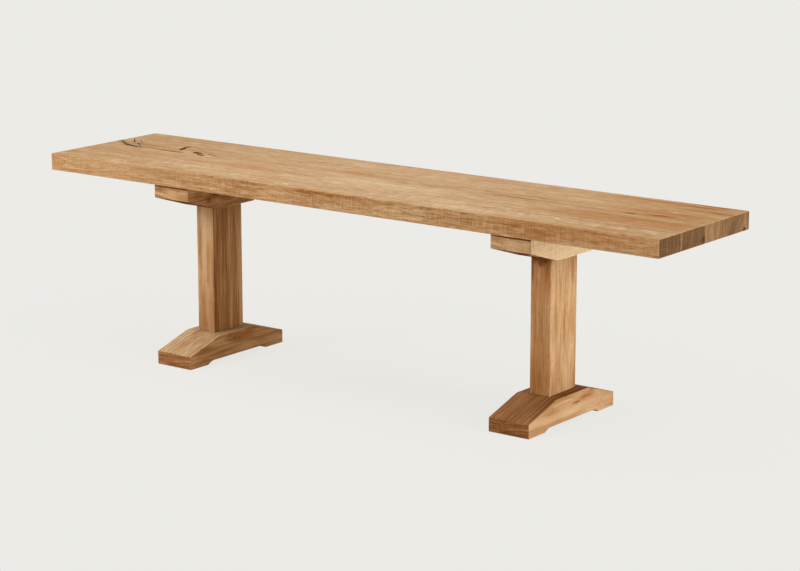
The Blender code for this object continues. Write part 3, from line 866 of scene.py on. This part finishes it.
# A dull tone for painted shade.
PAINTED_SHADE_OAK = "93714F"
STRAW_OAK = "EDD2A6"
planed = dict(
    end_tones=OAK_FACE, end_rings=0.15, end_rays=0.70, ray_width=4.5, rays=0.0, broads=0.35, clouds=0.45,
    fibres=0.16,
)
leg_oak = {
    "left_post": dict(
        # Its face shift is painted shade: the inner side is made darker.
        grain="Z", pith=(-451, -300, 0), tone=0.48, faces=((RIGHT, -0.19),), saw=0.05, clouds=0.25,
        streaks=0.95, streak_size=(380, 8, 150), fibre_size=(110, 3.0, 14), wander=8.0, pore_share=0.25,
        marks=(
            ((-475, -49, 200), (8, 12, 250), 0.18), ((-428, -49, 200), (8, 12, 250), -0.06),
            ((-427, 49, 200), (10, 46, 400), 0.26), ((-427, -20, 100), (10, 40, 90), -0.07),
            ((-438, -49, 300), (16, 12, 100), -0.12), ((-465, -49, 330), (16, 12, 40), 0.07),
            ((-427, -38, 260), (10, 14, 150), -0.07), ((-427, 5, 290), (10, 24, 90), 0.06),
            # The second mark on the next line is painted shade at the top of the front, under the cleat.
            ((-427, 30, 110), (10, 25, 80), -0.06), ((-451, -49, 350), (40, 20, 10), -0.10),
            ((-451, -49, 90), (40, 10, 80), -0.03),
        ),
    ),
    "left_foot": dict(
        # Its face shift is painted shade: the inner side is made much darker.
        grain="Y", pith=(-191, 0, 40), tone=0.67, end_tone=0.28, faces=((RIGHT, -0.38),), streaks=0.40,
        streak_size=(420, 8, 60), fibre_size=(90, 3.0, 8), ring=9.5, rings=0.26, wander=4.0,
        knots=(
            ((-402, -27, 50), (5, 5, 4), 0.5), ((-402, -5, 46), (4, 5, 4), 0.4),
            ((-402, 7, 42), (5, 6, 4), 0.5),
        ),
        marks=(((-490, -110, 45), (16, 90, 30), 0.08), ((-412, -110, 45), (10, 90, 30), -0.10)),
    ),
    "left_cleat": dict(
        # Painted shade: the inner side a little darker and the underside much darker.
        grain="Y", pith=(-151, 0, 380), tone=0.45, end_tone=0.47, faces=((RIGHT, -0.09), (DOWN, -0.60)),
        clouds=0.60, streaks=0.40, ring=9.0, rings=0.16, pore_share=0.25, saw=0.15,
        marks=(
            # The first mark on the next line is painted shade along the top of the inner side, under the
            # seat.
            ((-402, -60, 410), (12, 130, 8), -0.20), ((-402, -60, 367), (10, 28, 11), 0.16),
            ((-402, -90, 372), (10, 14, 6), -0.24), ((-402, -70, 383), (10, 50, 4), -0.20),
            ((-402, -43, 381), (8, 8, 4), 0.35), ((-402, -130, 392), (10, 30, 14), -0.08),
        ),
        end_marks=(
            ((-470, -159, 387), (60, 10, 7), 0.18), ((-440, -159, 396), (60, 10, 5), 0.10),
            # Painted shadow: a dark line along the top of the end, under the seat.
            ((-430, -159, 408.5), (120, 10, 4.9), -0.70),
        ),
    ),
    "right_post": dict(
        # Its face shift is painted shade: the outer side a hair darker.
        grain="Z", pith=(751, 0, 0), pith_turn=90, tone=0.52, faces=((RIGHT, -0.01),), saw=0.10,
        streaks=0.50, streak_size=(300, 5, 30), fibre_size=(90, 3.0, 6), pore_share=0.30, wander=5.0,
        tints=(
            ((475, 0, 200), (10, 90, 400), 0.15, SAND_OAK),
            ((445, -49, 110), (90, 12, 250), 0.30, WARM_OAK),
            ((450, -49, 300), (60, 12, 100), 0.45, RUST_OAK),
        ),
        knots=(((461, -49, 340), (7, 8, 5), 0.55), ((438, -49, 349), (12, 8, 5), 0.40)),
        marks=(
            # The first mark on the next line is painted shade across the top of the front, under the cleat.
            ((448, -49, 356), (60, 20, 30), -0.80), ((466, -49, 130), (14, 12, 120), -0.05),
            ((431, -49, 318), (7, 12, 36), -0.34), ((446, -49, 312), (9, 12, 22), 0.22),
            ((470, -49, 300), (7, 12, 50), -0.12), ((452, -49, 334), (14, 12, 9), -0.30),
            ((466, -49, 322), (12, 20, 30), -0.14), ((451, -49, 90), (60, 20, 90), -0.17),
            ((475, -20, 320), (10, 20, 30), 0.10), ((475, 20, 320), (10, 22, 50), -0.08),
            ((475, -42, 320), (10, 14, 50), 0.10), ((475, -44, 230), (10, 9, 160), 0.14),
            ((475, 30, 150), (10, 14, 50), 0.14), ((475, 4, 210), (10, 6, 150), -0.24),
            ((475, 35, 300), (10, 8, 46), -0.20), ((475, 23, 296), (10, 7, 50), 0.18),
            ((475, 22, 352), (10, 9, 22), -0.14), ((475, -35, 120), (10, 16, 60), 0.10),
        ),
    ),
    "right_foot": dict(
        # Its face shift is painted light: the outer side is made paler.
        grain="Y", pith=(711, 0, 40), tone=0.27, end_tone=0.21, faces=((RIGHT, 0.28),), clouds=0.15,
        streaks=0.22, streak_size=(420, 6, 150), fibre_size=(120, 2.6, 60), pore_share=0.25, wander=5.0,
        marks=(
            ((493, -60, 50), (4, 150, 40), -0.34), ((484, -70, 50), (2.6, 130, 40), -0.34),
            ((475, -80, 50), (2.6, 110, 40), -0.26), ((488, -80, 50), (2.4, 110, 40), 0.14),
            ((466, -100, 45), (2.2, 70, 40), -0.14), ((500, 16, 39), (8, 26, 4.5), -0.40),
            ((500, 52, 44), (8, 40, 7), -0.34), ((500, 72, 53), (8, 22, 5), -0.26),
            ((500, -24, 50), (8, 44, 4), 0.20), ((500, -60, 48), (8, 26, 4), 0.14),
            ((500, 104, 14), (10, 80, 16), 0.16), ((500, -20, 20), (20, 170, 16), 0.14),
            ((500, 60, 30), (8, 70, 7), 0.12), ((500, -70, 36), (8, 60, 8), -0.10),
        ),
        tints=(
            ((500, 58, 47), (10, 48, 14), 0.55, BRICK_OAK),
            # The second tint is painted shade over the front half of the foot, under the cleat.
            ((450, -100, 45), (80, 110, 40), 0.25, PAINTED_SHADE_OAK),
        ),
        knots=(((418, -153, 35), (5, 6, 5), 0.5), ((434, -159, 35), (5, 6, 5), 0.5)),
    ),
    "right_cleat": dict(
        # Painted light and shade: the outer side a little paler and the underside much darker.
        grain="Y", pith=(751, 0, 380), tone=0.78, end_tone=0.63, faces=((RIGHT, 0.10), (DOWN, -0.80)),
        streaks=0.34, streak_size=(200, 5, 30), pore_share=0.20, saw=0.80,
        tints=(((500, 0, 385), (10, 260, 90), 0.60, STRAW_OAK),),
        marks=(((500, -128, 388), (8, 12, 5), 0.22), ((500, -112, 385), (8, 10, 4), 0.22)),
        # The first end mark is painted shadow: a dark line along the top of the end, under the seat.
        end_marks=(((460, -159, 408.5), (90, 10, 4.9), -1.10), ((500, -159, 395), (14, 10, 30), -0.06)),
    ),
}
for leg_name, settings in leg_oak.items():
    dress(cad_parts[leg_name], sawn_oak("planed_oak_" + leg_name, **(planed | settings)))

# %% [markdown]
# ## Zinc plate, bright and yellow
#
# Steel fixings are plated in a bath, in a barrel that tumbles them. Bright zinc is a cool silver whose
# gloss changes from one spangle to the next. The inserts are dipped once more, in yellow passivate, which
# leaves an uneven straw colour. Spangles are really under a millimetre wide. They are drawn at 1.5 mm, so
# that a close view shows them.

# %% Two plated finishes
def plated_steel(name, tones, gloss):
    """Barrel-plated steel: tones from dark to pale, and a roughness that wanders between two values."""
    material, tree = new_material(name)
    spangle_size, scratch_size = (1.5, 1.5, 1.5), (0.4, 0.4, 3.0)
    spangle_levels = (0.35, 0.65)
    place, _ = place_and_normal(tree)
    spangle = patches(tree, place, spangle_size)
    tumbled = patches(tree, place, scratch_size, detail=1.0)
    roughness = between(tree, spangle, *spangle_levels, *gloss)
    bump = node(tree, "ShaderNodeBump", {"Height": tumbled, "Strength": 0.3, "Distance": 0.02 * MM})
    shader = node(tree, "ShaderNodeBsdfPrincipled", {
        "Base Color": stained(tree, spangle, tones), "Metallic": 1.0, "Roughness": roughness,
        "Normal": bump.outputs[0],
    })
    return finished(material, shader.outputs[0])


bright_zinc = plated_steel("barrel_plated_bright_zinc", ("9EA3A8", "C3C7CB", "DADDDF"), (0.26, 0.42))
yellow_zinc = plated_steel("yellow_passivated_zinc", ("9C8A5C", "C8B272", "DCCB9A"), (0.32, 0.50))

# %% [markdown]
# ## Bolts, washers and threaded inserts
#
# Four socket bolts hold each leg frame. They rise through slots in the cleat into threaded inserts in the
# seat. Their threads are rolled or cut as one groove that climbs by its pitch each turn. Here a zigzag,
# drawn by extruding a single corner, is wound up the shank by a Screw modifier, then sliced flat and capped
# at both ends, so it is a real helix.

# %% Wind a thread
thread_steps = 24
overrun = 0.1 * MM
hexagon = 6


def corner_at(name, place):
    """A mesh of one corner, which is the start of a drawn profile."""
    bpy.ops.object.select_all(action="DESELECT")
    bpy.ops.mesh.primitive_plane_add(size=MM, location=place)
    piece = bpy.context.object
    piece.name = name
    bpy.ops.object.mode_set(mode="EDIT")
    bpy.ops.mesh.select_mode(type="VERT")
    bpy.ops.mesh.select_all(action="SELECT")
    bpy.ops.mesh.merge(type="CENTER")
    return piece


def threaded_rod(name, axis, bottom, top, root, crest, pitch):
    """A rod around an upright axis with a thread from root to crest, flat and closed at bottom and top."""
    piece = corner_at(name, (axis.x, axis.y, bottom - pitch))
    bpy.ops.transform.translate(value=(root, 0.0, 0.0))
    for step_out in (crest - root, root - crest):
        zig = {"value": (step_out, 0.0, pitch / 2)}
        bpy.ops.mesh.extrude_vertices_move(TRANSFORM_OT_translate=zig)
    bpy.ops.object.mode_set(mode="OBJECT")
    turns = math.ceil((top - bottom) / pitch) + 2
    apply_modifier(
        piece, "SCREW", axis="Z", angle=math.tau, screw_offset=pitch, iterations=turns, steps=thread_steps,
        render_steps=thread_steps, use_merge_vertices=False, use_smooth_shade=False,
    )
    bpy.ops.object.transform_apply(location=True, rotation=True, scale=True)
    bpy.ops.object.mode_set(mode="EDIT")
    bpy.ops.mesh.select_all(action="SELECT")
    bpy.ops.mesh.remove_doubles(threshold=weld)
    for height, upwards in ((bottom, -1.0), (top, 1.0)):
        bpy.ops.mesh.select_all(action="SELECT")
        bpy.ops.mesh.bisect(
            plane_co=(axis.x, axis.y, height), plane_no=(0.0, 0.0, upwards), use_fill=True, clear_outer=True,
        )
    bpy.ops.mesh.select_all(action="SELECT")
    bpy.ops.mesh.normals_make_consistent(inside=False)
    bpy.ops.object.mode_set(mode="OBJECT")
    return piece


def across_flats(size):
    """The radius of a hexagon's corners from the distance between its flats."""
    return size / 2 / math.cos(math.pi / hexagon)


# %% One bolt
bolt_low, bolt_high = corners("left_bolt_1")
bolt_axis = (bolt_low + bolt_high) / 2
head_radius = (bolt_high.x - bolt_low.x) / 2
head_height = 8.0 * MM
head_edge = 0.8 * MM
head_edge_steps = 3
knurl_depth = 0.12 * MM
shank_radius = 4.0 * MM
thread_root = 3.3 * MM
thread_pitch = 1.25 * MM
thread_length = 28.0 * MM
tip_taper = 0.82
socket_flats = 6.0 * MM
socket_depth = 4.0 * MM

head_top = bolt_low.z + head_height
bolt = upright("socket_bolt", bolt_axis, bolt_low.z, head_top, head_radius, 2 * round_steps)
pick_edges(bolt, lambda middle: (middle.xy - bolt_axis.xy).length > head_radius / 2)
grid = bmesh.from_edit_mesh(bolt.data)
for corner in grid.verts:
    turn = math.atan2(corner.co.y - bolt_axis.y, corner.co.x - bolt_axis.x) * round_steps / math.pi
    if round(turn) % 2:
        corner.co.xy += (bolt_axis.xy - corner.co.xy) * knurl_depth / head_radius
bmesh.update_edit_mesh(bolt.data)
bpy.ops.object.mode_set(mode="OBJECT")
ease_edges(bolt, head_edge, head_edge_steps, lambda middle: abs(middle.z - bolt_low.z) < overrun)
socket_radius = across_flats(socket_flats)
cut(bolt, upright(
    "socket", bolt_axis, bolt_low.z - overrun, bolt_low.z + socket_depth, socket_radius, hexagon,
))
thread_start = bolt_high.z - thread_length
shank = upright("shank", bolt_axis, head_top - overrun, thread_start, shank_radius, round_steps)
thread = threaded_rod(
    "thread", bolt_axis, thread_start - overrun, bolt_high.z, thread_root, shank_radius, thread_pitch,
)
pick_edges(thread, lambda middle: abs(middle.z - bolt_high.z) < overrun)
tip = (bolt_axis.x, bolt_axis.y, bolt_high.z)
bpy.ops.transform.resize(value=(tip_taper, tip_taper, 1.0), center_override=tip)
bpy.ops.object.mode_set(mode="OBJECT")
for part in (shank, thread):
    apply_modifier(bolt, "BOOLEAN", object=part, operation="UNION", solver="EXACT")
    bpy.data.objects.remove(part)
print("bolt:", len(bolt.data.polygons), "faces")

# %% One washer
washer_low, washer_high = corners("left_washer_1")
washer_radius = (washer_high.x - washer_low.x) / 2
washer_edge = 0.3 * MM
washer_edge_steps = 2
bore_radius = shank_radius + 0.3 * MM
washer = upright("washer", bolt_axis, washer_low.z, washer_high.z, washer_radius, round_steps)
cut(washer, upright(
    "bore", bolt_axis, washer_low.z - overrun, washer_high.z + overrun, bore_radius, round_steps,
))
ease_edges(washer, washer_edge, washer_edge_steps, lambda middle: (
    (middle.xy - bolt_axis.xy).length > washer_radius - washer_edge
    and min(abs(middle.z - washer_low.z), abs(middle.z - washer_high.z)) < overrun
))
print("washer:", len(washer.data.polygons), "faces")

# %% One threaded insert
insert_low, insert_high = corners("left_insert_1")
insert_radius = (insert_high.x - insert_low.x) / 2
insert_thread_depth = 1.0 * MM
insert_pitch = 4.0 * MM
insert_flats = 8.0 * MM
insert_socket_depth = 5.0 * MM
insert_root = insert_radius - insert_thread_depth
key_radius = across_flats(insert_flats)
key_top = insert_low.z + insert_socket_depth
insert = threaded_rod(
    "insert", bolt_axis, insert_low.z, insert_high.z, insert_root, insert_radius, insert_pitch,
)
cut(insert, upright(
    "bore", bolt_axis, insert_low.z - overrun, insert_high.z + overrun, bore_radius, round_steps,
))
cut(insert, upright("key", bolt_axis, insert_low.z - overrun, key_top, key_radius, hexagon))
print("insert:", len(insert.data.polygons), "faces")


# %% Copy them to every place
def fitted(pattern, kind, side, number, key_turn):
    """A copy with its own mesh, moved from the first place to its own and turned about its axis."""
    node_name = f"{side}_{kind}_{number}"
    middle = sum(corners(node_name), Vector()) / 2
    alone(pattern)
    bpy.ops.object.duplicate(linked=False)
    piece = bpy.context.object
    piece.name = "plated_" + node_name
    bpy.ops.transform.translate(value=(middle.x - bolt_axis.x, middle.y - bolt_axis.y, 0.0))
    axis = (middle.x, middle.y, 0.0)
    bpy.ops.transform.rotate(value=key_turn, orient_axis="Z", center_override=axis)
    bpy.ops.object.transform_apply(location=True, rotation=True, scale=True)
    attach(piece, "root")
    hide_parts(node_name)


key_step = math.radians(37)
hardware = (
    ("bolt", bolt, bright_zinc, "zinc_steel"), ("washer", washer, bright_zinc, "zinc_steel"),
    ("insert", insert, yellow_zinc, "insert_steel"),
)
for kind, pattern, finish, slot in hardware:
    pattern.data.materials.clear()
    pattern.data.materials.append(finish)
    smooth(pattern)
    for count, (side, number) in enumerate(bolt_places):
        fitted(pattern, kind, side, number, key_step * count)
    bpy.data.objects.remove(pattern)
print("hardware:", len(bolt_places) * len(hardware), "pieces")
